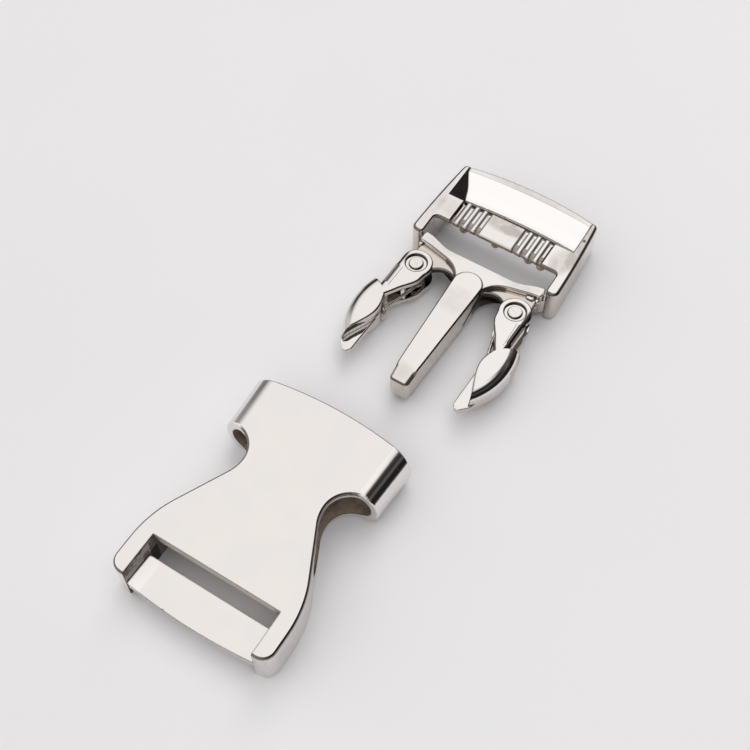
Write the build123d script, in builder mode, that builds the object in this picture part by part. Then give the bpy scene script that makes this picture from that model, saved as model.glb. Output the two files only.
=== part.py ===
from build123d import *
import math
import os

# Side release buckle for 25 mm webbing, unfastened, both halves lying flat.
# Millimetres, +Z up, underside of both halves at z = 0.
# +Y runs from the socket's strap end to the plug's end bar.

# ---------------------------------------------------------------- placement
SOCKET_X, SOCKET_Y = -2.61, -33.81      # socket: where its axis meets station 0
PLUG_X, PLUG_Y = 2.52, 30.71            # plug: where its axis meets station 0

# ---------------------------------------------------------------- socket
SOCKET_H = 8.8                          # overall thickness
PLATE = 1.3                             # top and bottom plate
MOUTH_Y = 24.85                         # mouth edge on the axis
MOUTH_R = 75.0                          # bow of the mouth edge, in plan
MOUTH_HALF = 16.15                      # half width at the mouth
FLANK_HALF = 15.55                      # half width at the windows' front wall
FLANK_R = 3.9                           # rounding of the mouth tube's sides
WINDOW_Y = 13.1                         # front wall of the side windows
WINDOW_R = 4.8                          # concave end of the side windows
NECK_HALF = 8.35                        # half width between the windows
WAIST_R = 7.0                           # concave waist behind the window
FLARE = 26.3                            # flare behind the waist, degrees
TAIL_HALF = 15.60                       # half width of the strap end
TAIL_R = 21.0                           # convex side of the strap end
TAIL_Y = -18.75                         # ends of the two strap legs
EDGE_R = 0.45                           # softened outer edges
CAVITY_MOUTH_HALF = 14.70
CAVITY_FRONT_HALF = 14.15               # at the windows' front wall
CAVITY_REAR_HALF = 12.30                # behind the windows
CAVITY_END_Y = -4.9
CAVITY_R = 2.9                          # rounded sides of the cavity
STRAP_W = 25.0                          # strap slot width
SLOT_Y = -10.65                         # top plate's edge over the slot
SLOT_PLATE = 2.0                        # top plate thickness over the slot
POCKET_Y = -6.4                         # webbing room below the top plate
BAR_Y0, BAR_Y1 = -12.60, -18.65         # strap bar, inner and outer edge
BAR_Z0, BAR_Z1 = 4.05, 4.50             # its top face at those edges
BAR_BOW = 0.75                          # outward bow of the outer edge
BAR_BOTTOM_Z = 1.9
BAR_NICKS = (  # x, y, radius of the small nicks in the strap bar's edges
    (-4.85, -19.42, 0.30),
    (-2.55, -19.50, 0.17),
    (9.50, -12.52, 0.20),
)

# ---------------------------------------------------------------- plug frame
RAIL_H = 7.9
RAIL_Y0 = 1.95                          # front ends of the rails
RAIL_FRONT_HALF, RAIL_MID_HALF, RAIL_REAR_HALF = 15.65, 15.45, 14.75
RAIL_MID_Y, RAIL_REAR_Y = 9.5, 19.6
RAIL_INNER = 13.25
NOSE_R = 0.95                           # rounding of the rails' inner front corners
END_Y, END_R = 22.50, 74.0              # end bar's outer face and its bow
END_BAR_Z = 7.45                        # end bar's top, a little below the rails'
INNER_EDGE_R = 0.3                      # softened edges of the gap and scoop
MIDBAR_Y0, MIDBAR_Y1 = 7.15, 12.95
MIDBAR_Z0 = 5.4
MIDBAR_LIP_Z = 6.95                     # underside of its thin front edge
MIDBAR_LIP_Y = 8.7                      # where the slope under that edge ends
MIDBAR_LUMPS = (  # x, y, radius of the cast lumps under the front edge
    (-7.3, 7.95, 0.80),
    (-0.4, 8.05, 0.80),
    (6.7, 8.10, 0.85),
    (9.4, 7.95, 0.85),
)
SCOOP_TOP_HALF, SCOOP_FOOT_HALF = 13.6, 12.0   # half widths at the top and at the floor
SCOOP_R = 120.0                         # bow of the scoop's rear wall, in plan
SCOOP_FOOT_Y = 16.1
SCOOP_WALL = (  # y, z down the scoop's rear wall, on the axis
    (20.72, 6.85),
    (20.35, 5.40),
    (19.60, 3.20),
    (18.40, 1.10),
    (SCOOP_FOOT_Y, -0.02),
)
GROOVES = (4.04, 5.82, 7.60, 9.38)      # rounded grooves across the mid bar, from its middle
GROOVE_MID = -0.28                      # middle of the two groups
GROOVE_R, GROOVE_DEPTH = 0.42, 0.42
GROOVE_FLARE, FLARE_DEPTH = 0.80, 0.20   # rounded shoulders of the grooves: half width, depth
CROSS_Z0, CROSS_Z1 = 1.45, 6.9
CROSS_END = 12.75                       # crossbar's ends, a slit inside the rails
CROSS_JOIN_Z = 5.2                      # below this the ends run into the rails
TONGUE_Z0, TONGUE_Z1 = 1.45, 7.2
TONGUE_TIP_Y = -28.3
CREASE_Y, TIP_DROP = -24.6, 0.55
TIP_BEVEL_W, TIP_BEVEL_H = 0.45, 0.75    # bevel along each side of the tip, past the crease
TIP_RUN_OUT = 1.1                       # length over which the bevel starts
PIN_X, PIN_Y = 10.55, -4.40
PIN_R = 1.15
PIN_RUN = 0.05                          # running clearance of the arms, per side
LUG_Z0, LUG_Z1 = 4.45, 5.9
LUG_R = 2.1

# ---------------------------------------------------------------- arms
ARM_Z0, ARM_Z1 = 1.5, 7.2
ARM_PLATE = 1.15
BOSS_R = 3.15
SHANK_OUT = 3.35                        # outer side of the shank from the pin
SHANK_WALL = 1.35
HEAD_R = 14.9                           # outer side of the hook head, in plan
HEAD_X, HEAD_Y = -9.0, -11.4            # centre of that arc from the pin
HEAD_RIM = 2.1                          # rounding of the head's outer side
RING_R, RING_DEPTH = 2.07, 0.42            # sunk ring round each end of the pin
LEDGE_Z = 3.9                           # ledge below the wire, next to the head
ARM_EDGE_R = 0.3                        # softened edges
TIP_Z0, TIP_Z1 = 3.55, 4.85
LEFT_OPEN, RIGHT_OPEN = 1.6, -1.6       # rest angle of each arm, degrees

# ---------------------------------------------------------------- springs
WIRE = 0.6
COIL_R = 1.75                           # mean radius round the pin
COIL_Z0, COIL_Z1 = 3.0, 4.1
LEG_Z = 4.1
BEAD_R = 0.40

os.makedirs("parts", exist_ok=True)


def socket_plane(z=0.0):
    return Plane(origin=(SOCKET_X, SOCKET_Y, z))


def plug_plane(z=0.0):
    return Plane(origin=(PLUG_X, PLUG_Y, z))


# ================================================================ socket
def flank_x(y):
    k = (MOUTH_HALF - FLANK_HALF) / (MOUTH_Y - WINDOW_Y)
    return FLANK_HALF + k * (y - WINDOW_Y)


def mouth_y(x):
    return MOUTH_Y - (MOUTH_R - math.sqrt(MOUTH_R**2 - x**2))


F = math.radians(FLARE)
WAIST_Y0 = WINDOW_Y - WINDOW_R
WAIST_P1 = (NECK_HALF + WAIST_R * (1 - math.cos(F)), WAIST_Y0 - WAIST_R * math.sin(F))
TAIL_P0_X = TAIL_HALF - TAIL_R * (1 - math.cos(F))
TAIL_P0 = (TAIL_P0_X, WAIST_P1[1] - (TAIL_P0_X - WAIST_P1[0]) / math.tan(F))
TAIL_Y0 = TAIL_P0[1] - TAIL_R * math.sin(F)
LEG_R = 2.4                             # rounded outer corner of a strap leg
LEG_P = (TAIL_HALF, TAIL_Y + LEG_R)
LEG_END = (TAIL_HALF - LEG_R, TAIL_Y)
TUBE_Y0 = 3.5                           # the mouth block is cut back behind this

# mouth tube's outside, with its rounded flanks
with BuildPart() as tube:
    with BuildSketch(socket_plane()):
        with BuildLine():
            my = mouth_y(MOUTH_HALF)
            a, b = (-flank_x(my), my), (flank_x(my), my)
            ThreePointArc(a, (0, MOUTH_Y), b)
            Polyline(b, (flank_x(TUBE_Y0), TUBE_Y0), (-flank_x(TUBE_Y0), TUBE_Y0), a)
        make_face()
    extrude(amount=SOCKET_H)
    fillet(
        tube.edges()
        .filter_by(GeomType.LINE)
        .filter_by(lambda e: abs((e @ 0.5).X - SOCKET_X) > 13 and abs((e @ 0.5).Z - SOCKET_H / 2) > 4),
        radius=FLANK_R,
    )
    fillet(
        tube.edges().filter_by(lambda e: min((e @ t).Y for t in (0, 0.5, 1)) > SOCKET_Y + 20.5),
        radius=0.3,
    )

# everything outside the waist and behind the windows' front wall
with BuildPart() as window_cut:
    with BuildSketch(socket_plane(-1)):
        with BuildLine():
            Line((19, WINDOW_Y), (NECK_HALF + WINDOW_R, WINDOW_Y))
            ThreePointArc(
                (NECK_HALF + WINDOW_R, WINDOW_Y),
                (NECK_HALF + WINDOW_R * (1 - math.sqrt(0.5)), WAIST_Y0 + WINDOW_R * math.sqrt(0.5)),
                (NECK_HALF, WAIST_Y0),
            )
            TangentArc((NECK_HALF, WAIST_Y0), WAIST_P1, tangent=(0, -1))
            Polyline(WAIST_P1, TAIL_P0, (19, TAIL_P0[1]), (19, WINDOW_Y))
        make_face()
        mirror(about=Plane.YZ)
    extrude(amount=SOCKET_H + 2)

# waist and strap end
with BuildPart() as tail:
    with BuildSketch(socket_plane()):
        with BuildLine() as half:
            l1 = TangentArc((NECK_HALF, WAIST_Y0), WAIST_P1, tangent=(0, -1))
            l2 = Line(WAIST_P1, TAIL_P0)
            l3 = TangentArc(TAIL_P0, (TAIL_HALF, TAIL_Y0), tangent=l2 % 1)
            l4 = Line((TAIL_HALF, TAIL_Y0), LEG_P)
            l5 = TangentArc(LEG_P, LEG_END, tangent=(0, -1))
            Polyline(LEG_END, (0, TAIL_Y), (0, WAIST_Y0), (NECK_HALF, WAIST_Y0))
        make_face()
        mirror(about=Plane.YZ)
    extrude(amount=SOCKET_H)
    rim = (
        tail.edges()
        .filter_by(lambda e: abs((e @ 0.5).Z - SOCKET_H / 2) > 4)
        .filter_by(lambda e: (e @ 0.5).Y < SOCKET_Y + WAIST_Y0 - 0.2)
    )
    fillet(rim, radius=EDGE_R)

# cavity between the plates, with rounded sides
with BuildPart() as cavity:
    with BuildSketch(socket_plane(PLATE)):
        with BuildLine():
            Polyline(
                (0, MOUTH_Y + 1),
                (CAVITY_MOUTH_HALF, MOUTH_Y + 1),
                (CAVITY_FRONT_HALF, WINDOW_Y - 0.5),
                (CAVITY_REAR_HALF, WINDOW_Y - 4.5),
                (CAVITY_REAR_HALF, CAVITY_END_Y),
                (0, CAVITY_END_Y),
                (0, MOUTH_Y + 1),
            )
        make_face()
        mirror(about=Plane.YZ)
    extrude(amount=SOCKET_H - 2 * PLATE)
    fillet(
        cavity.edges()
        .filter_by(GeomType.LINE)
        .filter_by(lambda e: abs((e @ 0.5).X - SOCKET_X) > 12 and abs((e @ 0.5).Z - SOCKET_H / 2) > 3),
        radius=CAVITY_R,
    )

# strap bar: flat top, rounded underside, bowed outer edge
with BuildPart() as strap_bar:
    with BuildSketch(Plane(origin=(SOCKET_X, SOCKET_Y, 0), x_dir=(0, 1, 0), z_dir=(1, 0, 0))):
        with BuildLine():
            y1 = BAR_Y1 - BAR_BOW
            Line((y1, BAR_Z1), (BAR_Y0, BAR_Z0))
            Line((BAR_Y0, BAR_Z0), (BAR_Y0, BAR_Z0 - 0.35))
            ThreePointArc((BAR_Y0, BAR_Z0 - 0.35), ((BAR_Y0 + y1) / 2, BAR_BOTTOM_Z), (y1, BAR_Z1 - 0.45))
            Line((y1, BAR_Z1 - 0.45), (y1, BAR_Z1))
        make_face()
    extrude(amount=STRAP_W / 2 + 1.2, both=True)
    with BuildSketch(socket_plane(-1)):
        with BuildLine():
            e = (STRAP_W / 2, BAR_Y1)
            ThreePointArc((-e[0], e[1]), (0, BAR_Y1 - BAR_BOW), e)
            Polyline(e, (e[0] + 1.2, BAR_Y1 + 0.5), (e[0] + 1.2, BAR_Y0 + 1), (-e[0] - 1.2, BAR_Y0 + 1), (-e[0] - 1.2, BAR_Y1 + 0.5), (-e[0], e[1]))
        make_face()
    extrude(amount=SOCKET_H, mode=Mode.INTERSECT)
    for x, y, r in BAR_NICKS:
        with Locations((SOCKET_X + x, SOCKET_Y + y, BAR_Z1)):
            Sphere(r, mode=Mode.SUBTRACT)

# mouth block with the side windows' front walls, their rims softened
with BuildPart() as mouth_block:
    add(tube.part)
    add(window_cut.part, mode=Mode.SUBTRACT)
    with BuildSketch(socket_plane(-1)):
        with Locations((0, WAIST_Y0 - 5)):
            Rectangle(60, 10)
    extrude(amount=SOCKET_H + 2, mode=Mode.SUBTRACT)
    fillet(
        mouth_block.edges().filter_by(
            lambda e: WAIST_Y0 + 0.1 < (e @ 0.5).Y - SOCKET_Y < WINDOW_Y + 0.1 and abs((e @ 0.5).X - SOCKET_X) > NECK_HALF - 0.1 and not (e.geom_type == GeomType.LINE and abs((e @ 0.5).Z - SOCKET_H / 2) < 0.1)
        ),
        radius=EDGE_R,
    )

with BuildPart() as socket:
    add(mouth_block.part)
    add(tail.part)
    add(cavity.part, mode=Mode.SUBTRACT)
    # strap slot, open at the tail between the two legs
    with BuildSketch(socket_plane(-1)):
        with BuildLine():
            Polyline((-STRAP_W / 2, SLOT_Y), (STRAP_W / 2, SLOT_Y), (STRAP_W / 2, -25), (-STRAP_W / 2, -25), close=True)
        make_face()
    extrude(amount=SOCKET_H + 2, mode=Mode.SUBTRACT)
    # webbing room below the top plate's edge
    with BuildSketch(socket_plane(-1)):
        with Locations((0, (SLOT_Y - 1 + POCKET_Y) / 2)):
            Rectangle(STRAP_W, POCKET_Y - SLOT_Y + 1)
    extrude(amount=SOCKET_H - SLOT_PLATE + 1, mode=Mode.SUBTRACT)
    add(strap_bar.part)
socket.part.label = "socket"
export_step(socket.part, "parts/socket.step")
print("socket", len(socket.part.solids()), round(socket.part.volume, 1), socket.part.bounding_box())


# ================================================================ plug frame
def side(e, x_min=0.0, x_max=99.0):
    m = abs((e @ 0.5).X - PLUG_X)
    return x_min < m < x_max


# rails and end bar: one rounded bow, open at the front
with BuildPart() as bow:
    with BuildSketch(plug_plane()):
        with BuildLine():
            e = END_Y - (END_R - math.sqrt(END_R**2 - 14.55**2))
            m = END_Y - (END_R - math.sqrt(END_R**2 - 7.2**2))
            ThreePointArc((RAIL_FRONT_HALF, RAIL_Y0), (RAIL_MID_HALF, RAIL_MID_Y), (RAIL_REAR_HALF, RAIL_REAR_Y))
            Line((RAIL_REAR_HALF, RAIL_REAR_Y), (14.55, e))
            ThreePointArc((14.55, e), (7.2, m), (0, END_Y))
            Polyline((0, END_Y), (0, RAIL_Y0), (RAIL_FRONT_HALF, RAIL_Y0))
        make_face()
        mirror(about=Plane.YZ)
    extrude(amount=RAIL_H)
    # rounded rear corners, then softened top and bottom edges
    fillet(bow.edges().filter_by(Axis.Z).filter_by(lambda e: (e @ 0.5).Y > PLUG_Y + 20.5 and side(e, 13.9)), radius=0.9)
    fillet(bow.edges().filter_by(Axis.Z).filter_by(lambda e: (e @ 0.5).Y < PLUG_Y + RAIL_Y0 + 0.5 and side(e, 13.9)), radius=1.3)

# the gap between the rails in front of the mid bar
with BuildPart() as front_gap:
    with BuildSketch(plug_plane(-1)):
        with BuildLine():
            # the rails' inner front corners are rounded
            nose_y = RAIL_Y0 - 0.03
            nose = (RAIL_INNER + NOSE_R, nose_y)
            k = NOSE_R * (1 - math.sqrt(0.5))
            Polyline((0, MIDBAR_Y0), (RAIL_INNER, MIDBAR_Y0), (RAIL_INNER, nose_y + NOSE_R))
            ThreePointArc((RAIL_INNER, nose_y + NOSE_R), (RAIL_INNER + k, nose_y + k), nose)
            Polyline(nose, (nose[0], RAIL_Y0 - 3), (0, RAIL_Y0 - 3), (0, MIDBAR_Y0))
        make_face()
        mirror(about=Plane.YZ)
    extrude(amount=RAIL_H + 2)
    fillet(front_gap.edges().filter_by(Axis.Z).filter_by(lambda e: (e @ 0.5).Y > PLUG_Y + 5), radius=0.9)

# the scoop behind the mid bar: its rear wall curves down from the end bar's flat
# top to a thin foot, its sides lean in
with BuildPart() as scoop:
    with BuildSketch(Plane(origin=(PLUG_X, PLUG_Y, 0), x_dir=(0, 1, 0), z_dir=(1, 0, 0))):
        with BuildLine():
            Polyline((24, RAIL_H + 1), (24, END_BAR_Z), (21.35, END_BAR_Z))
            Spline((21.35, END_BAR_Z), *SCOOP_WALL, tangents=((-1, 0), (-1, -0.15)))
            Polyline(SCOOP_WALL[-1], (SCOOP_FOOT_Y, -1), (8, -1), (8, RAIL_H + 1), (24, RAIL_H + 1))
        make_face()
    revolve(axis=Axis((PLUG_X, PLUG_Y + 21.0 - SCOOP_R, 0), (0, 0, 1)), revolution_arc=16)
with BuildPart() as scoop_tool:
    add(scoop.part)
    mirror(scoop.part, about=Plane(origin=(PLUG_X, PLUG_Y, 0), z_dir=(1, 0, 0)))
    with BuildSketch(plug_plane(-0.01)):
        with Locations((0, 18)):
            Rectangle(2 * SCOOP_FOOT_HALF, 12)
    with BuildSketch(plug_plane(RAIL_H + 1)):
        with Locations((0, 18)):
            Rectangle(2 * SCOOP_TOP_HALF, 12)
    loft(mode=Mode.INTERSECT)
    with BuildSketch(plug_plane(-2)):
        with Locations((0, MIDBAR_Y1 + 10)):
            Rectangle(40, 20)
    extrude(amount=RAIL_H + 4, mode=Mode.INTERSECT)
print("scoop", len(scoop_tool.part.solids()), scoop_tool.part.bounding_box())

# one rounded groove goes over the mid bar and down its front and rear
with BuildPart() as groove:
    with BuildSketch(Plane(origin=(PLUG_X + GROOVE_MID, PLUG_Y, 0), x_dir=(0, 1, 0), z_dir=(1, 0, 0))):
        with BuildLine():
            Polyline(
                (MIDBAR_Y0 - 1, MIDBAR_Z0 - 1), (MIDBAR_Y0 - 1, RAIL_H + 1), (MIDBAR_Y1 + 1, RAIL_H + 1), (MIDBAR_Y1 + 1, MIDBAR_Z0 - 1),
                (MIDBAR_Y1 - GROOVE_DEPTH, MIDBAR_Z0 - 1), (MIDBAR_Y1 - GROOVE_DEPTH, RAIL_H - GROOVE_DEPTH - 0.5),
                (MIDBAR_Y1 - GROOVE_DEPTH - 0.5, RAIL_H - GROOVE_DEPTH), (MIDBAR_Y0 + GROOVE_DEPTH + 0.5, RAIL_H - GROOVE_DEPTH),
                (MIDBAR_Y0 + GROOVE_DEPTH, RAIL_H - GROOVE_DEPTH - 0.5), (MIDBAR_Y0 + GROOVE_DEPTH, MIDBAR_Z0 - 1), close=True,
            )
        make_face()
    extrude(amount=GROOVE_R, both=True)
    fillet(
        groove.edges().filter_by(lambda e: abs((e @ 0.5).X - PLUG_X - GROOVE_MID) > GROOVE_R - 0.01 and MIDBAR_Y0 < (e @ 0.5).Y - PLUG_Y < MIDBAR_Y1 and RAIL_H - GROOVE_DEPTH - 3 < (e @ 0.5).Z < RAIL_H),
        radius=GROOVE_DEPTH - 0.04,
    )
print("groove", len(groove.part.solids()), groove.part.volume)

# its rounded shoulders
with BuildPart() as flare:
    with BuildSketch(Plane(origin=(PLUG_X + GROOVE_MID, PLUG_Y + MIDBAR_Y0 - 1, RAIL_H), x_dir=(1, 0, 0), z_dir=(0, -1, 0))):
        with BuildLine():
            TangentArc((GROOVE_FLARE, 0.04), (GROOVE_R - 0.05, -FLARE_DEPTH), tangent=(-1, -0.15))
            TangentArc((-GROOVE_FLARE, 0.04), (-GROOVE_R + 0.05, -FLARE_DEPTH), tangent=(1, -0.15))
            Line((GROOVE_R - 0.05, -FLARE_DEPTH), (-GROOVE_R + 0.05, -FLARE_DEPTH))
            Polyline((GROOVE_FLARE, 0.04), (GROOVE_FLARE, 1), (-GROOVE_FLARE, 1), (-GROOVE_FLARE, 0.04))
        make_face()
    extrude(amount=-(MIDBAR_Y1 - MIDBAR_Y0 + 2))
print("flare", len(flare.part.solids()), flare.part.bounding_box())

# crossbar and tongue root, plan outline of the right half
CROSSBAR = (  # x from the axis, y of rear edge, y of front edge
    (2.2, 1.75, -5.5),
    (2.95, 1.75, -3.2),
    (4.2, 1.75, -1.45),
    (6.3, 1.75, -0.30),
    (9.0, 2.30, 0.35),
    (11.0, 3.05, 0.80),
    (CROSS_END, 3.35, 1.10),
)
TONGUE = (  # y along the tongue, half width
    (-3.2, 2.90),
    (-9.0, 2.68),
    (-16.0, 2.40),
    (-22.5, 2.15),
    (TONGUE_TIP_Y, 1.85),
)

with BuildPart() as crossbar:
    with BuildSketch(plug_plane(CROSS_Z0)):
        with BuildLine():
            rear = [(x, yr) for x, yr, yf in CROSSBAR]
            front = [(x, yf) for x, yr, yf in CROSSBAR]
            Polyline((0, rear[0][1]), rear[3])
            Spline(*rear[3:], tangents=((1, 0), (1, 0.1)))
            ThreePointArc(rear[-1], (CROSS_END + 0.35, (rear[-1][1] + front[-1][1]) / 2), front[-1])
            Spline(*reversed(front), tangents=((-1, -0.25), (-0.25, -1)))
            Polyline(front[0], (0, front[0][1]), (0, rear[0][1]))
        make_face()
        mirror(about=Plane.YZ)
    extrude(amount=CROSS_Z1 - CROSS_Z0)
    fillet(
        crossbar.edges().filter_by(lambda e: (e @ 0.5).Z > CROSS_Z1 - 0.1 and (e @ 0.5).Y > PLUG_Y - 5.4),
        radius=0.3,
    )

# below the slits the crossbar's ends run into the rails
with BuildPart() as root_blocks:
    with BuildSketch(plug_plane(CROSS_Z0)):
        with BuildLine():
            Polyline((11.5, 3.1), (14.4, 3.7), (14.4, 2.95), (12.85, 1.4), (11.5, 0.95), close=True)
        make_face()
        mirror(about=Plane.YZ)
    extrude(amount=CROSS_JOIN_Z - CROSS_Z0)

with BuildPart() as tongue:
    with BuildSketch(plug_plane(TONGUE_Z0)):
        with BuildLine():
            pts = [(w, y) for y, w in TONGUE]
            Polyline(*pts)
            Line(pts[-1], (-pts[-1][0], pts[-1][1]))
            Polyline(*[(-x, y) for x, y in reversed(pts)])
            ThreePointArc((-pts[0][0], pts[0][1]), (0, -0.75), pts[0])
        make_face()
    extrude(amount=TONGUE_Z1 - TONGUE_Z0)
    # past the crease the top slopes down to the tip
    with BuildSketch(Plane(origin=(PLUG_X, PLUG_Y, 0), x_dir=(0, 1, 0), z_dir=(1, 0, 0))):
        with BuildLine():
            Polyline(
                (CREASE_Y, TONGUE_Z1),
                (TONGUE_TIP_Y - 1, TONGUE_Z1 - TIP_DROP * (CREASE_Y - TONGUE_TIP_Y + 1) / (CREASE_Y - TONGUE_TIP_Y)),
                (TONGUE_TIP_Y - 1, TONGUE_Z1 + 1),
                (CREASE_Y, TONGUE_Z1 + 1),
                close=True,
            )
        make_face()
    extrude(amount=5, both=True, mode=Mode.SUBTRACT)
    fillet(
        tongue.edges().filter_by(Axis.Z).filter_by(lambda e: (e @ 0.5).Y < PLUG_Y + TONGUE_TIP_Y + 0.1),
        radius=0.85,
    )
    fillet(
        tongue.edges().filter_by(lambda e: (e @ 0.5).Z > TONGUE_Z1 - TIP_DROP - 0.05 and abs((e @ 0.5).Z - (e @ 0).Z) < 0.4 and not ((e @ 0.5).X - PLUG_X == 0 and (e @ 0.5).Y > PLUG_Y - 26 and (e @ 0.5).Y < PLUG_Y - 20)),
        radius=0.3,
    )
    fillet(
        tongue.edges().filter_by(lambda e: max((e @ t).Z for t in (0, 0.5, 1)) < TONGUE_Z0 + 0.05 and (e @ 0.5).Y < PLUG_Y - 4),
        radius=0.7,
    )


def tip_edge(y, hand):
    """The tongue's upper side edge past the crease, before it is softened."""
    (y0, w0), (y1, w1) = TONGUE[-2:]
    drop = TIP_DROP * (CREASE_Y - y) / (CREASE_Y - TONGUE_TIP_Y)
    return Vector(PLUG_X + hand * (w0 + (w1 - w0) * (y - y0) / (y1 - y0)), PLUG_Y + y, TONGUE_Z1 - drop)


# past the crease both upper side edges carry a bevel that starts with a short run-out
for hand in (1, -1):
    start = tip_edge(CREASE_Y, hand)
    full = tip_edge(CREASE_Y - TIP_RUN_OUT, hand)
    inward, down = Vector(-hand * TIP_BEVEL_W, 0, 0), Vector(0, 0, -TIP_BEVEL_H)
    with BuildPart() as tip_bevel:
        with BuildSketch(Plane(origin=start + inward, z_dir=(full - start).cross(down - inward) * hand)):
            Rectangle(16, 16)
        extrude(amount=4)
        with BuildSketch(Plane(origin=start, z_dir=(full + inward - start).cross(full + down - start) * hand)):
            Rectangle(16, 16)
        extrude(amount=4, mode=Mode.INTERSECT)
    with tongue:
        add(tip_bevel.part, mode=Mode.SUBTRACT)

# one lug, from the crossbar to the pin, bored for it
with BuildPart() as lug:
    with BuildSketch(plug_plane(LUG_Z0)):
        with BuildLine():
            Polyline((2.0, 0.8), (12.3, 1.7), (PIN_X + LUG_R - 0.05, PIN_Y + 0.4))
            ThreePointArc(
                (PIN_X + LUG_R - 0.05, PIN_Y + 0.4),
                (PIN_X, PIN_Y - LUG_R),
                (PIN_X - LUG_R, PIN_Y),
            )
            ThreePointArc((PIN_X - LUG_R, PIN_Y), (6.2, -2.15), (2.0, -4.6))
            Line((2.0, -4.6), (2.0, 0.8))
        make_face()
        mirror(about=Plane.YZ)
        with Locations((PIN_X, PIN_Y), (-PIN_X, PIN_Y)):
            Circle(PIN_R, mode=Mode.SUBTRACT)
    extrude(amount=LUG_Z1 - LUG_Z0)

with BuildPart() as plug_frame:
    add(bow.part)
    fillet(
        plug_frame.edges().filter_by(lambda e: abs((e @ 0.5).Z - RAIL_H / 2) > 3.9 and ((e @ 0.5).Y > PLUG_Y + 20 or side(e, 13.5))),
        radius=0.6,
    )
    add(front_gap.part, mode=Mode.SUBTRACT)
    add(scoop_tool.part, mode=Mode.SUBTRACT)
    # strap room below the mid bar, and the mid bar's own top a little lower
    with BuildSketch(plug_plane(-1)):
        with Locations((0, (MIDBAR_Y0 - 1 + MIDBAR_Y1) / 2)):
            Rectangle(2 * RAIL_INNER, MIDBAR_Y1 - MIDBAR_Y0 + 1)
    extrude(amount=MIDBAR_Z0 + 1, mode=Mode.SUBTRACT)
    # the bar's front edge is thin, with a slope and small lumps under it
    with BuildSketch(Plane(origin=(PLUG_X, PLUG_Y, 0), x_dir=(0, 1, 0), z_dir=(1, 0, 0))):
        with BuildLine():
            Polyline((MIDBAR_Y0 - 0.5, MIDBAR_Z0 - 0.5), (MIDBAR_Y0 - 0.5, MIDBAR_LIP_Z), (MIDBAR_Y0, MIDBAR_LIP_Z), (MIDBAR_LIP_Y, MIDBAR_Z0), (MIDBAR_LIP_Y, MIDBAR_Z0 - 0.5), close=True)
        make_face()
    extrude(amount=RAIL_INNER, both=True, mode=Mode.SUBTRACT)
    fillet(
        plug_frame.edges().filter_by(
            lambda e: abs((e @ 0.5).Z - RAIL_H) < 0.01 and side(e, -1, 13.7) and (e @ 0.5).Y < PLUG_Y + END_Y
        ),
        radius=INNER_EDGE_R,
    )
    for x in GROOVES:
        with Locations((x, 0, 0), (-x, 0, 0)):
            add(groove.part, mode=Mode.SUBTRACT)
            add(flare.part, mode=Mode.SUBTRACT)
    for x, y, r in MIDBAR_LUMPS:
        with Locations((PLUG_X + x, PLUG_Y + y, MIDBAR_Z0 + 0.75)):
            Sphere(r)
    add(crossbar.part)
    add(root_blocks.part)
    add(lug.part)
    add(tongue.part)
    # peened ends of the springs' rear legs, at the crossbar's ends
    with Locations((PLUG_X + 12.5, PLUG_Y + 0.75, LUG_Z1 - 0.25), (PLUG_X - 12.5, PLUG_Y + 0.95, LUG_Z1 - 0.15)):
        Sphere(0.52)
    with Locations((PLUG_X + 10.75, PLUG_Y + 0.45, LUG_Z1 + 0.1)):
        Sphere(0.42)
    with Locations(Location((PLUG_X + 10.75, PLUG_Y + 0.45, LUG_Z1 + 0.1), (0, 90, 10))):
        Cylinder(0.40, 0.9, align=(Align.CENTER, Align.CENTER, Align.MIN))
    with Locations((PLUG_X + 10.75 + 0.9 * math.cos(math.radians(10)), PLUG_Y + 0.45 + 0.9 * math.sin(math.radians(10)), LUG_Z1 + 0.1)):
        Sphere(0.42)
    # small casting pit in the right rail's top
    with Locations((PLUG_X + 14.0, PLUG_Y + 16.3, RAIL_H + 0.1)):
        Sphere(0.28, mode=Mode.SUBTRACT)
print("frame", len(plug_frame.part.solids()), round(plug_frame.part.volume, 1), plug_frame.part.bounding_box())
plug_frame.part.label = "plug_frame"
export_step(plug_frame.part, "parts/plug_frame.step")


# ================================================================ arms
# Each arm is worked out round its pin: x away from the tongue, -y to the tip.
ARM_H = ARM_Z1 - ARM_Z0

# rounded outer side of the hook head: a disc with a round rim
with BuildPart() as head_disc:
    with BuildSketch(Plane(origin=(HEAD_X, HEAD_Y, ARM_Z0))):
        Circle(HEAD_R)
    extrude(amount=ARM_H)
    fillet(head_disc.edges(), radius=HEAD_RIM)

HEAD_INNER = (  # x, y of the leaf's inner edge, shoulder to tip
    (1.00, -9.30),
    (0.45, -10.9),
    (0.20, -12.6),
    (0.50, -14.5),
    (1.20, -16.4),
    (2.30, -19.0),
    (2.75, -21.2),
)

with BuildPart() as head:
    with BuildSketch(Plane.XY.offset(ARM_Z0)):
        with BuildLine():
            Spline(*HEAD_INNER)
            Polyline(HEAD_INNER[-1], (9.0, -21.2), (9.0, -6.0), (6.2, -6.60))
            Spline((6.2, -6.60), (4.0, -7.10), (2.7, -7.60), (1.60, -8.45), HEAD_INNER[0])
        make_face()
    extrude(amount=ARM_H)
    fillet(
        head.edges().filter_by(lambda e: abs((e @ 0.5).Z - (ARM_Z0 + ARM_Z1) / 2) > 2 and (e @ 0.5).X < 5.7),
        radius=ARM_EDGE_R,
    )
    add(head_disc.part, mode=Mode.INTERSECT)

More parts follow.
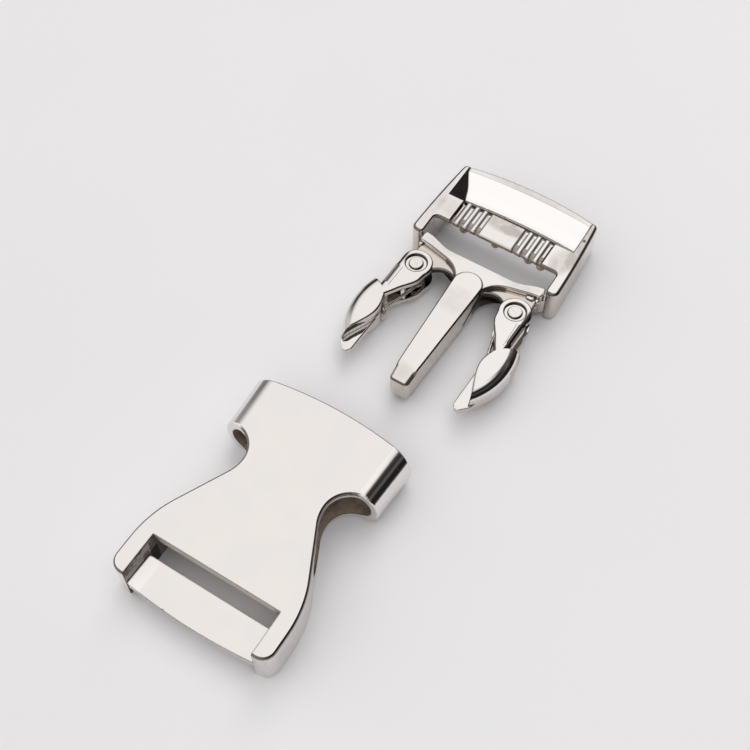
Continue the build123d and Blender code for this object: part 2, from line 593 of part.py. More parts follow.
# thin plate at mid height that ends in the blunt tip
with BuildPart() as tip_plate:
    with BuildSketch(Plane.XY.offset(TIP_Z0)):
        with BuildLine():
            Polyline((1.4, -11.5), (0.10, -13.6), (0.15, -21.5), (0.75, -22.35), (1.65, -22.35), (3.1, -20.8), (4.3, -17.5), (4.3, -12.0), close=True)
        make_face()
    extrude(amount=TIP_Z1 - TIP_Z0)
    fillet(tip_plate.edges().filter_by(Axis.Z).filter_by(lambda e: (e @ 0.5).Y < -21), radius=0.35)
    fillet(tip_plate.edges().filter_by(lambda e: abs((e @ 0.5).Z - (TIP_Z0 + TIP_Z1) / 2) > 0.5 and (e @ 0.5).X < 4.2 and (e @ 0.5).Y < -12.2), radius=0.25)

with BuildPart() as shank:
    with BuildSketch(Plane.XY.offset(ARM_Z0)):
        with BuildLine():
            boss = ThreePointArc((-2.95, -1.1), (0, BOSS_R), (2.95, -1.1))
            Polyline((2.95, -1.1), (SHANK_OUT, -2.6), (SHANK_OUT, -9.6), (1.3, -9.6))
            Spline((1.3, -9.6), (0.75, -8.6), (-0.4, -6.6), (-1.6, -4.9), (-2.6, -2.9), (-2.95, -1.1), tangents=((-0.3, 1), (boss % 0) * 1))
        make_face()
    extrude(amount=ARM_H)
    fillet(
        shank.edges()
        .filter_by(GeomType.LINE)
        .filter_by(lambda e: (e @ 0.5).X > SHANK_OUT - 0.05 and abs((e @ 0.5).Z - (ARM_Z0 + ARM_Z1) / 2) > 2),
        radius=1.3,
    )
    fillet(
        shank.edges().filter_by(lambda e: abs((e @ 0.5).Z - (ARM_Z0 + ARM_Z1) / 2) > 2.8 and (e @ 0.5).X < 1.0 and (e @ 0.5).Y > -9.5),
        radius=ARM_EDGE_R,
    )

# room for the lug and the spring between the arm's two plates
with BuildPart() as arm_room:
    with BuildSketch(Plane.XY.offset(ARM_Z0 + ARM_PLATE)):
        with BuildLine():
            Polyline(
                (-5, 6), (5, 6), (5, -1.9), (SHANK_OUT - SHANK_WALL, -1.9), (SHANK_OUT - SHANK_WALL, -6.4),
                (0.9, -8.2), (0.6, -9.5), (1.0, -10.0), (0.95, -11.0), (0.4, -11.4), (-0.5, -11.6), (-5, -11.6), close=True,
            )
        make_face()
    extrude(amount=ARM_H - 2 * ARM_PLATE)
    # next to the head a ledge stays below the wire
    with BuildSketch(Plane.XY.offset(ARM_Z0)):
        with BuildLine():
            Polyline((-5, -5.9), (SHANK_OUT, -5.9), (SHANK_OUT, -12), (-5, -12), close=True)
        make_face()
    extrude(amount=LEDGE_Z - ARM_Z0, mode=Mode.SUBTRACT)

with BuildPart() as arm_shape:
    add(shank.part)
    add(head.part)
    add(tip_plate.part)
    # small tab under the wire's bead
    with BuildSketch(Plane.XY.offset(ARM_Z0)):
        with BuildLine():
            Polyline((1.3, -9.9), (0.05, -10.15), (-0.25, -10.5), (-0.10, -11.1), (0.5, -11.5), (1.3, -11.5), close=True)
        make_face()
    extrude(amount=LEDGE_Z - 0.2 - ARM_Z0)
    add(arm_room.part, mode=Mode.SUBTRACT)
    with BuildSketch(Plane.XY.offset(ARM_Z0 - 1)):
        Circle(PIN_R + PIN_RUN)
    extrude(amount=ARM_H + 2, mode=Mode.SUBTRACT)
    # the ring-shaped groove round each end of the pin
    with BuildSketch(Plane.XY.offset(ARM_Z1 - RING_DEPTH)):
        Circle(RING_R)
    extrude(amount=1, mode=Mode.SUBTRACT)
    with BuildSketch(Plane.XY.offset(ARM_Z0 + RING_DEPTH)):
        Circle(RING_R)
    extrude(amount=-1, mode=Mode.SUBTRACT)
print("arm", len(arm_shape.part.solids()), round(arm_shape.part.volume, 1), arm_shape.part.bounding_box())

with BuildPart() as arm_right:
    with Locations(Location((PLUG_X + PIN_X, PLUG_Y + PIN_Y, 0), (0, 0, RIGHT_OPEN))):
        add(arm_shape.part)
with BuildPart() as arm_mirrored:
    mirror(arm_shape.part, about=Plane.YZ)
with BuildPart() as arm_left:
    with Locations(Location((PLUG_X - PIN_X, PLUG_Y + PIN_Y, 0), (0, 0, -LEFT_OPEN))):
        add(arm_mirrored.part)
arm_right.part.label = "arm_right"
arm_left.part.label = "arm_left"
export_step(arm_right.part, "parts/arm_right.step")
export_step(arm_left.part, "parts/arm_left.step")

# ================================================================ pins
with BuildPart() as pin_shape:
    with BuildSketch(Plane.XY.offset(ARM_Z0 + 0.1)):
        Circle(PIN_R)
    extrude(amount=ARM_H - 0.2)
    with BuildSketch(Plane.XY.offset(ARM_Z1 - 0.28)):
        Circle(1.3)
    extrude(amount=0.33)
    with BuildSketch(Plane.XY.offset(ARM_Z0 + 0.28)):
        Circle(1.3)
    extrude(amount=-0.33)
    fillet(pin_shape.edges().group_by(Axis.Z)[-1], radius=0.16)
    fillet(pin_shape.edges().group_by(Axis.Z)[0], radius=0.16)
with BuildPart() as pin_right:
    with Locations((PLUG_X + PIN_X, PLUG_Y + PIN_Y, 0)):
        add(pin_shape.part)
with BuildPart() as pin_left:
    with Locations((PLUG_X - PIN_X, PLUG_Y + PIN_Y, 0)):
        add(pin_shape.part)
pin_right.part.label = "pin_right"
pin_left.part.label = "pin_left"
export_step(pin_right.part, "parts/pin_right.step")
export_step(pin_left.part, "parts/pin_left.step")

# ================================================================ springs
# Wire: leg from the crossbar, just over one turn round the pin, leg to the bead
# in the arm's head. Worked out for the right arm, round its pin.
COIL_IN = 144  # degrees, where the rear leg meets the coil
COIL_STEP = 36
coil = [
    (
        COIL_R * math.cos(math.radians(a)),
        COIL_R * math.sin(math.radians(a)),
        COIL_Z0 + (COIL_Z1 - COIL_Z0) * (a - COIL_IN) / 396,
    )
    for a in range(COIL_IN, COIL_IN + 361, COIL_STEP)
] + [(-COIL_R, 0, COIL_Z1)]
SPRING_END = (0.42, -10.5, 4.25)  # bead at the arm's end
REAR_END = (2.05, 6.2, 3.6)  # inside the crossbar, where the wire is held


def spring_line(open_deg):
    # points of the wire for an arm that rests open_deg further out
    a = math.radians(open_deg)
    out = math.sin(a), math.cos(a)
    end = (SPRING_END[0] * out[1] - SPRING_END[1] * out[0], SPRING_END[0] * out[0] + SPRING_END[1] * out[1], SPRING_END[2])
    mid = (-1.05 + 5.4 * out[0], -5.4, LEG_Z + 0.05)
    return [REAR_END, (0.31, 3.6, 3.2), *coil, (-1.62, -2.6, LEG_Z), mid, end]


with BuildPart() as spring_shape_right:
    with BuildLine() as spring_path:
        Spline(*spring_line(RIGHT_OPEN))
    with BuildSketch(Plane(origin=spring_path.line @ 0, z_dir=spring_path.line % 0)):
        Circle(WIRE / 2)
    sweep(path=spring_path.line, is_frenet=True)
    with Locations(spring_line(RIGHT_OPEN)[-1]):
        Sphere(BEAD_R)
with BuildPart() as spring_shape_left:
    with BuildLine() as spring_path:
        Spline(*spring_line(LEFT_OPEN))
    with BuildSketch(Plane(origin=spring_path.line @ 0, z_dir=spring_path.line % 0)):
        Circle(WIRE / 2)
    sweep(path=spring_path.line, is_frenet=True)
    with Locations(spring_line(LEFT_OPEN)[-1]):
        Sphere(BEAD_R)
with BuildPart() as spring_mirrored:
    mirror(spring_shape_left.part, about=Plane.YZ)
with BuildPart() as spring_right:
    with Locations((PLUG_X + PIN_X, PLUG_Y + PIN_Y, 0)):
        add(spring_shape_right.part)
    add(plug_frame.part, mode=Mode.SUBTRACT)
with BuildPart() as spring_left:
    with Locations((PLUG_X - PIN_X, PLUG_Y + PIN_Y, 0)):
        add(spring_mirrored.part)
    add(plug_frame.part, mode=Mode.SUBTRACT)
spring_right.part.label = "spring_right"
spring_left.part.label = "spring_left"
export_step(spring_right.part, "parts/spring_right.step")
export_step(spring_left.part, "parts/spring_left.step")
print("spring", len(spring_right.part.solids()), len(spring_left.part.solids()), spring_right.part.bounding_box())
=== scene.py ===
import math
import bpy
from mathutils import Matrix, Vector


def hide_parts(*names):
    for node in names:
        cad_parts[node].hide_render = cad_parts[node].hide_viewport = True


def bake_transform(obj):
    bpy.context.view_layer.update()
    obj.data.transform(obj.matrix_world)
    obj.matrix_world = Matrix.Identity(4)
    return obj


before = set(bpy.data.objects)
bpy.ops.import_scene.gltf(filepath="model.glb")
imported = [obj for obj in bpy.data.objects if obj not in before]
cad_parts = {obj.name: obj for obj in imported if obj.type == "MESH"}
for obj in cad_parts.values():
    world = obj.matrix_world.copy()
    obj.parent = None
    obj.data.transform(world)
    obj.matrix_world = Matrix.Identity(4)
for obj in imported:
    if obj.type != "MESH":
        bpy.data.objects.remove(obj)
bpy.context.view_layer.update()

# ---------------------------------------------------------------- where the halves lie (mm)
SOCKET_X, SOCKET_Y = -2.61, -33.81
PLUG_X, PLUG_Y = 2.52, 30.71
PIN_X, PIN_Y = 10.55, -4.40

# ---------------------------------------------------------------- camera
AZ, EL = math.radians(32.15), math.radians(58.077)
TARGET = Vector((SOCKET_X - 1.12, SOCKET_Y + 38.74, 0.0)) / 1000
DISTANCE = 0.22327
BACK = Vector((math.sin(AZ) * math.cos(EL), -math.cos(AZ) * math.cos(EL), math.sin(EL)))
camera_data = bpy.data.cameras.new("camera")
camera_data.sensor_width = 36.0
camera_data.lens = 36.0 * 1215.9 / 750
camera_data.clip_start = 0.005
camera_data.clip_end = 20.0
camera = bpy.data.objects.new("camera", camera_data)
bpy.context.scene.collection.objects.link(camera)
camera.location = TARGET + BACK * DISTANCE
camera.rotation_euler = BACK.to_track_quat("Z", "Y").to_euler()
bpy.context.scene.camera = camera


# ---------------------------------------------------------------- node helpers
class Num:
    """A number in a node tree, so that masks read as plain sums."""

    def __init__(self, tree, socket):
        self.tree, self.socket = tree, socket

    def op(self, kind, *others, clamp=False):
        node = self.tree.nodes.new("ShaderNodeMath")
        node.operation = kind
        node.use_clamp = clamp
        for i, x in enumerate((self, *others)):
            if isinstance(x, Num):
                self.tree.links.new(x.socket, node.inputs[i])
            else:
                node.inputs[i].default_value = x
        return Num(self.tree, node.outputs[0])

    def __add__(self, o): return self.op("ADD", o)
    def __sub__(self, o): return self.op("SUBTRACT", o)
    def __mul__(self, o): return self.op("MULTIPLY", o)
    def __truediv__(self, o): return self.op("DIVIDE", o)
    def abs(self): return self.op("ABSOLUTE")
    def min(self, o): return self.op("MINIMUM", o)
    def max(self, o): return self.op("MAXIMUM", o)
    def clamp(self): return self.op("ADD", 0.0, clamp=True)
    def flip(self): return (self * -1.0) + 1.0

    def step(self, a, b):
        """0 below a, 1 above b, smooth between; falling if a > b."""
        node = self.tree.nodes.new("ShaderNodeMapRange")
        node.interpolation_type = "SMOOTHSTEP"
        self.tree.links.new(self.socket, node.inputs["Value"])
        low, high, t0, t1 = (a, b, 0.0, 1.0) if a < b else (b, a, 1.0, 0.0)
        node.inputs["From Min"].default_value = low
        node.inputs["From Max"].default_value = high
        node.inputs["To Min"].default_value = t0
        node.inputs["To Max"].default_value = t1
        return Num(self.tree, node.outputs["Result"])

    def between(self, a, b, soft=0.1):
        return self.step(a - soft / 2, a + soft / 2) * self.step(b + soft / 2, b - soft / 2)


def split(tree, socket):
    node = tree.nodes.new("ShaderNodeSeparateXYZ")
    tree.links.new(socket, node.inputs[0])
    return [Num(tree, o) for o in node.outputs]


def mix_colour(tree, factor, a, b):
    node = tree.nodes.new("ShaderNodeMix")
    node.data_type = "RGBA"
    if isinstance(factor, Num):
        tree.links.new(factor.socket, node.inputs["Factor"])
    else:
        node.inputs["Factor"].default_value = factor
    for name, x in (("A", a), ("B", b)):
        socket = [s for s in node.inputs if s.name == name and s.type == "RGBA"][0]
        if isinstance(x, tuple):
            socket.default_value = (*x, 1.0)
        else:
            tree.links.new(x, socket)
    return [s for s in node.outputs if s.type == "RGBA"][0]


def noise(tree, vector, scale, detail=3.0, rough=0.5, stretch=None, offset=(0, 0, 0)):
    if stretch or any(offset):
        mapping = tree.nodes.new("ShaderNodeMapping")
        mapping.inputs["Scale"].default_value = stretch or (1, 1, 1)
        mapping.inputs["Location"].default_value = offset
        tree.links.new(vector, mapping.inputs["Vector"])
        vector = mapping.outputs["Vector"]
    node = tree.nodes.new("ShaderNodeTexNoise")
    node.inputs["Scale"].default_value = scale
    node.inputs["Detail"].default_value = detail
    node.inputs["Roughness"].default_value = rough
    tree.links.new(vector, node.inputs["Vector"])
    return Num(tree, node.outputs[0])


def cells(tree, vector, scale):
    node = tree.nodes.new("ShaderNodeTexVoronoi")
    node.inputs["Scale"].default_value = scale
    tree.links.new(vector, node.inputs["Vector"])
    return Num(tree, node.outputs["Distance"])


def start_material(name):
    mat = bpy.data.materials.new(name)
    mat.use_nodes = True
    tree = mat.node_tree
    shader = tree.nodes["Principled BSDF"]
    coords = tree.nodes.new("ShaderNodeTexCoord")
    scale = tree.nodes.new("ShaderNodeVectorMath")
    scale.operation = "SCALE"
    scale.inputs["Scale"].default_value = 1000.0
    tree.links.new(coords.outputs["Object"], scale.inputs[0])
    mm = scale.outputs[0]
    return mat, tree, shader, mm, coords


def bump(tree, height, distance, previous=None):
    node = tree.nodes.new("ShaderNodeBump")
    node.inputs["Strength"].default_value = 1.0
    node.inputs["Distance"].default_value = distance
    tree.links.new(height.socket, node.inputs["Height"])
    if previous is not None:
        tree.links.new(previous, node.inputs["Normal"])
    return node.outputs["Normal"]


def crease(tree, radius):
    """1 along sharp edges and corners, 0 on open surface; then the same, wider and softer."""
    node = tree.nodes.new("ShaderNodeBevel")
    node.samples = 6
    node.inputs["Radius"].default_value = radius
    geometry = tree.nodes.new("ShaderNodeNewGeometry")
    dot = tree.nodes.new("ShaderNodeVectorMath")
    dot.operation = "DOT_PRODUCT"
    tree.links.new(node.outputs["Normal"], dot.inputs[0])
    tree.links.new(geometry.outputs["Normal"], dot.inputs[1])
    value = Num(tree, dot.outputs["Value"])
    return value.step(0.975, 0.84), value.step(0.995, 0.93)


def tilt(tree, normal, toward, factor):
    """Lean a normal toward a direction, by factor from 0 to 1."""
    scaled = tree.nodes.new("ShaderNodeVectorMath")
    scaled.operation = "SCALE"
    scaled.inputs[0].default_value = toward
    tree.links.new(factor.socket, scaled.inputs["Scale"])
    total = tree.nodes.new("ShaderNodeVectorMath")
    total.operation = "ADD"
    tree.links.new(normal, total.inputs[0])
    tree.links.new(scaled.outputs[0], total.inputs[1])
    unit = tree.nodes.new("ShaderNodeVectorMath")
    unit.operation = "NORMALIZE"
    tree.links.new(total.outputs[0], unit.inputs[0])
    return unit.outputs[0]


NICKEL = (0.835, 0.800, 0.772)
NICKEL_COOL = (0.80, 0.785, 0.775)
CAST = (0.36, 0.285, 0.225)


def nickel(name, cast=None, dark=None, dull=None, bright=None, smudge=None, rim=None, matte=None, end_light=None, ribs=None, dents=None,
           black=None, lift=None, lean=None, edge=0.00036, seed=0.0):
    """Polished nickel plating. cast is the rough brown skin where polishing doesn't reach,
    dark the painted shade in the hollows, dull a browner, rougher tone, partly painted shade on the sides,
    bright the wall whitened as a painted highlight, rim a painted dark reflection along the rounded edges,
    matte the pale unpolished cuts, end_light the left end of the strap bar whitened as painted light,
    ribs the softly rounded ribs, black the painted black lines of shade in the narrow hollows,
    lift the foot of a wall that runs out into a ledge, lean a flank that curves down and the way it
    faces, edge the width of the painted dark lines of shade along the sharp edges."""
    mat, tree, shader, mm, coords = start_material(name)
    place = (*split(tree, mm), *split(tree, coords.outputs["Normal"]))
    nz = place[5]
    at = (seed, seed * 1.7, seed * 0.6)
    broad = noise(tree, mm, 0.16, 2.0, 0.5, offset=at)
    cloud = noise(tree, mm, 0.45, 3.0, 0.55, offset=at)
    fine = noise(tree, mm, 2.2, 5.0, 0.6, offset=at)
    grain = noise(tree, mm, 9.0, 3.0, 0.7, offset=at)
    side = nz.abs().step(0.75, 0.25)  # upright faces, made browner and rougher than the tops, partly as painted shade
    # faint polishing lines along the top, and draw lines up the sides
    streaks = noise(tree, mm, 1.0, 3.0, 0.65, stretch=(9.0, 0.35, 1.0), offset=at)
    draw = noise(tree, mm, 1.0, 4.0, 0.65, stretch=(3.2, 3.2, 0.5), offset=at)
    line, halo = crease(tree, edge)
    colour = mix_colour(tree, broad.step(0.35, 0.68), NICKEL, NICKEL_COOL)
    dulled_and_shaded = side * draw.step(0.40, 0.72) * 0.35
    # dull adds a browner, rougher tone on chosen faces, partly painted shade on the sides
    if dull:
        dulled_and_shaded = dulled_and_shaded + dull(*place).clamp() * (draw * 0.45 + 0.5)
    dulled_and_shaded = dulled_and_shaded.clamp()
    if smudge:
        blot = noise(tree, mm, 0.75, 5.0, 0.62, stretch=(1.0, 0.6, 1.0), offset=at)
        stain = (smudge(*place) * (blot.step(0.30, 0.78) * 0.5 + 0.45)).clamp()
        colour = mix_colour(tree, stain * 0.75, colour, (0.43, 0.385, 0.355))
    colour = mix_colour(tree, dulled_and_shaded * 0.8, colour, (0.56, 0.485, 0.425))
    polished = (fine.step(0.45, 0.75) * 0.035 + streaks.step(0.55, 0.8) * 0.03) + 0.045
    rough = polished + dulled_and_shaded * 0.16
    if smudge:
        rough = rough + stain * 0.10
    wave = noise(tree, mm, 0.24, 1.0, 0.4, offset=at)
    normal = bump(tree, wave, 0.000022)
    normal = bump(tree, fine, 0.0000022, normal)
    pits = cells(tree, mm, 0.22).step(0.030, 0.008)
    normal = bump(tree, pits * grain.step(0.46, 0.52), -0.00002, normal)
    normal = bump(tree, draw * side, 0.000008, normal)
    if dents:
        normal = bump(tree, dents(*place[:3]), 0.00005, normal)
    if bright:
        # painted highlight: the scoop's wall whitened, rougher, with its normal leaned up towards the light
        wall = bright(*place).clamp()
        colour = mix_colour(tree, wall, colour, (0.925, 0.915, 0.903))
        rough = rough + wall * 0.14
        normal = tilt(tree, normal, (0.71, -1.425, 4.08), wall)
    if ribs:
        normal = tilt(tree, normal, (0.0, 0.0, 3.2), ribs(*place).clamp())
    if lift:
        normal = tilt(tree, normal, (-0.4, 0.2, 3.6), lift(*place).clamp())
    if lean:
        normal = tilt(tree, normal, lean[1], lean[0](*place).clamp())
    if rim:
        # painted dark reflection along the rounded edges, nearly black
        rim_shade = (rim(*place) * (draw * 0.5 + 0.70)).clamp()
        colour = mix_colour(tree, rim_shade * 0.92, colour, (0.085, 0.062, 0.049))
    raw = None
    if matte:
        raw = matte(*place).clamp()
        pale = mix_colour(tree, grain.step(0.30, 0.70), (0.50, 0.425, 0.365), (0.80, 0.74, 0.69))
        pale = mix_colour(tree, cloud.step(0.50, 0.60) * place[3].abs().step(0.5, 0.8) * 0.8, pale, (0.13, 0.105, 0.09))
        colour = mix_colour(tree, raw, colour, pale)
        rough = rough + raw * 0.30
        normal = bump(tree, grain * raw, 0.00006, normal)
    if cast:
        skin = cast(*place).clamp()
        brown = mix_colour(tree, grain.step(0.30, 0.70), CAST, (0.54, 0.445, 0.365))
        brown = mix_colour(tree, cloud.step(0.45, 0.62) * 0.6, brown, (0.20, 0.150, 0.112))
        colour = mix_colour(tree, skin, colour, brown)
        rough = rough + skin * (grain * 0.18 + 0.34)
        normal = bump(tree, grain * skin, 0.00011, normal)
    if dark:
        # painted shade in hollows, under overhangs and along the leg walls
        hollow_shade = dark(*place).clamp()
        colour = mix_colour(tree, hollow_shade, colour, (0.060, 0.048, 0.042))
        rough = rough + hollow_shade * 0.25
    if black:
        # painted black lines of shade and dark reflection
        black_shade = black(*place).clamp()
        colour = mix_colour(tree, black_shade, colour, (0.012, 0.010, 0.009))
        rough = rough + black_shade * 0.2
    # painted shade: a brown halo and a dark line along every sharp edge, standing in for the dark reflection of rounded
    # edges
    colour = mix_colour(tree, halo * 0.45, colour, (0.33, 0.27, 0.23))
    colour = mix_colour(tree, line * 0.92, colour, (0.055, 0.040, 0.031))
    rough = rough + line * 0.15
    if end_light:
        # painted light: the strap bar's end half whitened, less metallic and leaned, standing in for a bright
        # reflection
        white = end_light(*place).clamp()
        colour = mix_colour(tree, white * 0.5, colour, (0.93, 0.905, 0.885))
        rough = rough + white * 0.06
        normal = tilt(tree, normal, (0.24, -0.15, 0.0), white)
    tree.links.new(colour, shader.inputs["Base Color"])
    if raw is not None and cast:
        bare = (raw * 0.65).max(skin * 0.45)
        if end_light:
            bare = bare.max(white * 0.25)
        tree.links.new((bare * -1.0 + 1.0).clamp().socket, shader.inputs["Metallic"])
    elif cast:
        tree.links.new((skin * -0.45 + 1.0).clamp().socket, shader.inputs["Metallic"])
    else:
        shader.inputs["Metallic"].default_value = 1.0
    tree.links.new(rough.clamp().socket, shader.inputs["Roughness"])
    tree.links.new(normal, shader.inputs["Normal"])
    return mat


def in_socket(x, y):
    return (x - SOCKET_X).abs(), y - SOCKET_Y


def in_plug(x, y):
    return (x - PLUG_X).abs(), y - PLUG_Y


def socket_cast(x, y, z, nx, ny, nz):
    lx, ly = in_socket(x, y)
    outward = ((x - SOCKET_X) * nx).step(1.5, 3.0)
    inside = z.between(1.27, 7.53, 0.04) * lx.step(14.9, 14.75) * ly.between(-5.1, 25.5, 0.2) * outward.flip() * ny.step(-0.45, -0.25)
    under = nz.step(-0.6, -0.8) * z.step(5.0, 5.4) * z.step(7.2, 7.0)
    return inside + under


def socket_matte(x, y, z, nx, ny, nz):
    lx, ly = in_socket(x, y)
    legs = lx.between(12.4, 12.6, 0.04) * ly.step(-10.4, -10.9) * nx.abs().step(0.8, 0.9)
    slot = z.step(8.72, 8.62) * lx.step(12.62, 12.50) * ly.between(-12.5, -6.2, 0.1) * ny.step(-0.2, -0.6)
    return legs * z.step(8.6, 8.4) + slot


def socket_dark(x, y, z, nx, ny, nz):
    # painted shade lines along the top and bottom of the leg walls, and a darker patch in the slot's rear left corner
    lx, ly = in_socket(x, y)
    legs = lx.between(12.3, 12.7, 0.04) * ly.step(-10.4, -10.9) * nx.abs().step(0.8, 0.9)
    lines = z.step(8.25, 8.40) + z.step(5.15, 4.85)
    corner = lx.step(10.9, 11.9) * lx.step(12.7, 12.6) * ly.between(-12.2, -6.2, 0.2) * z.step(8.3, 8.0)
    return legs * lines * 0.85 + corner * 0.7


def socket_end_light(x, y, z, nx, ny, nz):
    # painted light on the strap bar's left end, beside the leg
    lx, ly = in_socket(x, y)
    left = (x - SOCKET_X).step(-9.4, -10.6)
    return left * lx.step(12.6, 12.5) * ly.step(-12.4, -12.6) * z.step(4.0, 4.1) * z.step(5.2, 5.1) * nz.step(0.6, 0.8)


def socket_dull(x, y, z, nx, ny, nz):
    lx, ly = in_socket(x, y)
    return nz.abs().step(0.5, 0.2) * ly.step(-16.0, -2.0) * ly.step(12.0, 8.0) * z.step(8.2, 7.2) * 0.6


def socket_rim(x, y, z, nx, ny, nz):
    # painted dark reflection on the rounded top edges
    lx, ly = in_socket(x, y)
    flank = lx.step(11.5, 12.5) * ly.step(10.5, 12.0)
    return z.step(8.0, 8.25) * nz.step(-0.15, 0.0) * nz.step(0.990, 0.95) * flank.flip()


def plug_cast(x, y, z, nx, ny, nz):
    lx, ly = in_plug(x, y)
    faces = ly.between(3.0, 7.35, 0.1) * lx.step(13.3, 13.0) * z.step(7.75, 7.6) * nz.abs().step(0.6, 0.3)
    lumps = ly.between(7.0, 9.0, 0.1) * lx.step(12.6, 12.4) * z.step(7.62, 7.50)
    return faces * 0.7 + lumps * 0.8


def plug_dark(x, y, z, nx, ny, nz):
    # painted shade on the scoop's side walls, in the hollow by the tongue's root and under overhangs
    lx, ly = in_plug(x, y)
    scoop_sides = lx.between(11.8, 13.6, 0.05) * ly.between(13.1, 20.6, 0.3) * nx.abs().step(0.85, 0.95) * z.step(7.75, 7.4)
    root = ly.between(-6.5, 0.6, 1.0) * lx.step(2.5, 2.9) * z.step(5.75, 5.2) * nz.step(0.6, 0.3) * 1.3
    under = z.step(5.8, 5.6) * nz.step(-0.5, -0.7) * 0.5
    return scoop_sides * 0.9 + root * 0.75 + under


def plug_dull(x, y, z, nx, ny, nz):
    # crossbar front, rail sides, noses, lug top and tongue flanks made browner and rougher, partly painted shade
    lx, ly = in_plug(x, y)
    front = ly.step(3.2, 2.6) * nz.abs().step(0.6, 0.3) * z.step(7.2, 6.2) * 1.2
    outer = lx.step(15.1, 15.3) * nz.abs().step(0.5, 0.2) * z.step(7.6, 6.4)
    noses = ly.between(1.5, 3.2, 0.3) * lx.step(12.9, 13.1) * ny.step(-0.3, -0.7)
    lug_top = z.between(5.75, 6.05, 0.1) * ly.step(2.0, 1.6) * lx.step(2.8, 3.0)
    flank = lx.step(3.1, 3.0) * ly.between(-14.0, -3.3, 4.0) * nz.abs().step(0.6, 0.3) * 0.8
    return front + outer + noses + lug_top + flank


def plug_painted_highlight(x, y, z, nx, ny, nz):
    # painted highlight on the scoop's wall
    lx, ly = in_plug(x, y)
    return lx.step(13.3, 13.1) * ly.between(15.9, 21.6, 0.3) * ny.step(-0.5, -0.8) * z.step(1.2, 2.6)


def plug_rim(x, y, z, nx, ny, nz):
    # painted dark reflection on the rounded top edges and on the tongue tip's bevel
    lx, ly = in_plug(x, y)
    ribs = ly.between(7.0, 13.1, 0.2) * lx.step(9.4, 9.2)
    high = z.step(6.72, 6.86) * ly.step(1.5, 1.0) + z.step(6.10, 6.25) * ly.step(-24.0, -26.0) + z.step(7.35, 7.55)
    bevel = ly.step(-24.5, -24.8) * z.step(5.7, 5.8) * nz.between(0.40, 0.62, 0.06)
    return high * nz.step(-0.15, 0.0) * nz.step(0.990, 0.95) * (ribs * -0.75 + 1.0) + bevel


def plug_ribs(x, y, z, nx, ny, nz):
    lx, ly = in_plug(x, y)
    return ly.between(7.3, 12.8, 0.2) * lx.step(9.6, 9.4) * lx.step(2.2, 2.4) * z.between(6.6, 7.86, 0.05)


def plug_smudge(x, y, z, nx, ny, nz):
    lx, ly = x - PLUG_X, y - PLUG_Y

    def patch(cx, cy, rx, ry):
        u, v = (lx - cx) / rx, (ly - cy) / ry
        return (u * u + v * v).step(1.3, 0.2)

    plates = patch(-0.6, 11.7, 4.2, 2.2) * 1.2 + patch(1.4, 11.0, 2.6, 1.2) * 1.0 + patch(12.6, 9.5, 2.4, 3.6) * 0.8 + patch(-11.5, 10.0, 3.2, 2.6) * 0.45
    rails = patch(14.2, 15.0, 1.6, 7.0) * 1.3 + patch(-14.2, 9.0, 1.2, 7.0) * 0.4 + patch(3.0, 22.0, 14.0, 1.6) * 0.6
    tongue = patch(0.0, -8.0, 3.6, 3.5) * 0.35 + patch(-1.0, -26.3, 3.5, 2.2) * 0.45
    cross = patch(8.0, 2.0, 5.0, 2.0) * 0.5 + patch(-8.0, 2.0, 5.0, 2.0) * 0.4
    return (plates + rails + tongue + cross) * nz.step(0.7, 0.95)


def plug_black(x, y, z, nx, ny, nz):
    """Painted black lines of shade and dark reflection: one down each side of the tongue from
    the lug, another across the wall below the lug, and thin lines on both sides of each rounded groove."""
    lx, ly = in_plug(x, y)
    upright = nz.abs().step(0.6, 0.3) * ly.step(0.8, 0.4)
    tail = (z - (ly + 5.5) * 0.578 - 4.65).abs().step(0.80, 0.40) * lx.step(2.0, 2.3) * lx.step(3.1, 3.0) * ly.between(-9.4, -3.3, 0.4)
    below = (z + (lx - 3.15) * 1.05 - 4.20).abs().step(1.15, 0.7) * lx.between(2.9, 6.6, 0.3) * z.step(4.55, 4.45)
    brow = z.between(5.85, 6.8, 0.12) * lx.between(2.9, 6.5, 0.5) * 0.8
    away = None
    for middle in (4.04, 5.82, 7.60, 9.38):
        one = ((x - PLUG_X + 0.28).abs() - middle).abs()
        away = one if away is None else away.min(one)
    grooved = away.between(0.36, 0.52, 0.05) * ly.between(7.5, 12.75, 0.1) * z.step(7.2, 7.3) * nz.step(0.0, 0.2)
    return (tail + below + brow) * upright + grooved * 0.85


def plug_dents(x, y, z):
    lx, ly = x - PLUG_X, y - PLUG_Y

    def patch(cx, cy, rx, ry):
        u, v = (lx - cx) / rx, (ly - cy) / ry
        return (u * u + v * v).step(1.0, 0.0)

    return (patch(0.9, 10.6, 3.0, 2.1) + patch(11.6, 10.9, 2.2, 2.4)) * -1.0


def arm_cast(x, y, z, nx, ny, nz):
    v = y - PLUG_Y - PIN_Y
    return z.between(2.72, 5.98, 0.05) * v.step(-11.9, -11.5) * (v.step(-8.8, -7.2) * 0.65 + 0.35)


def arm_rim(x, y, z, nx, ny, nz):
    # painted dark reflection on the arms' rounded top edges
    neck = (y - PLUG_Y - PIN_Y).step(-11.0, -9.5) * 0.6 + 0.4
    return z.step(6.4, 6.6) * nz.step(0.05, 0.2) * nz.step(0.985, 0.93) * neck


def pin_distance(x, y):
    u, v = (x - PLUG_X).abs() - PIN_X, y - PLUG_Y - PIN_Y
    return (u * u + v * v).op("SQRT")


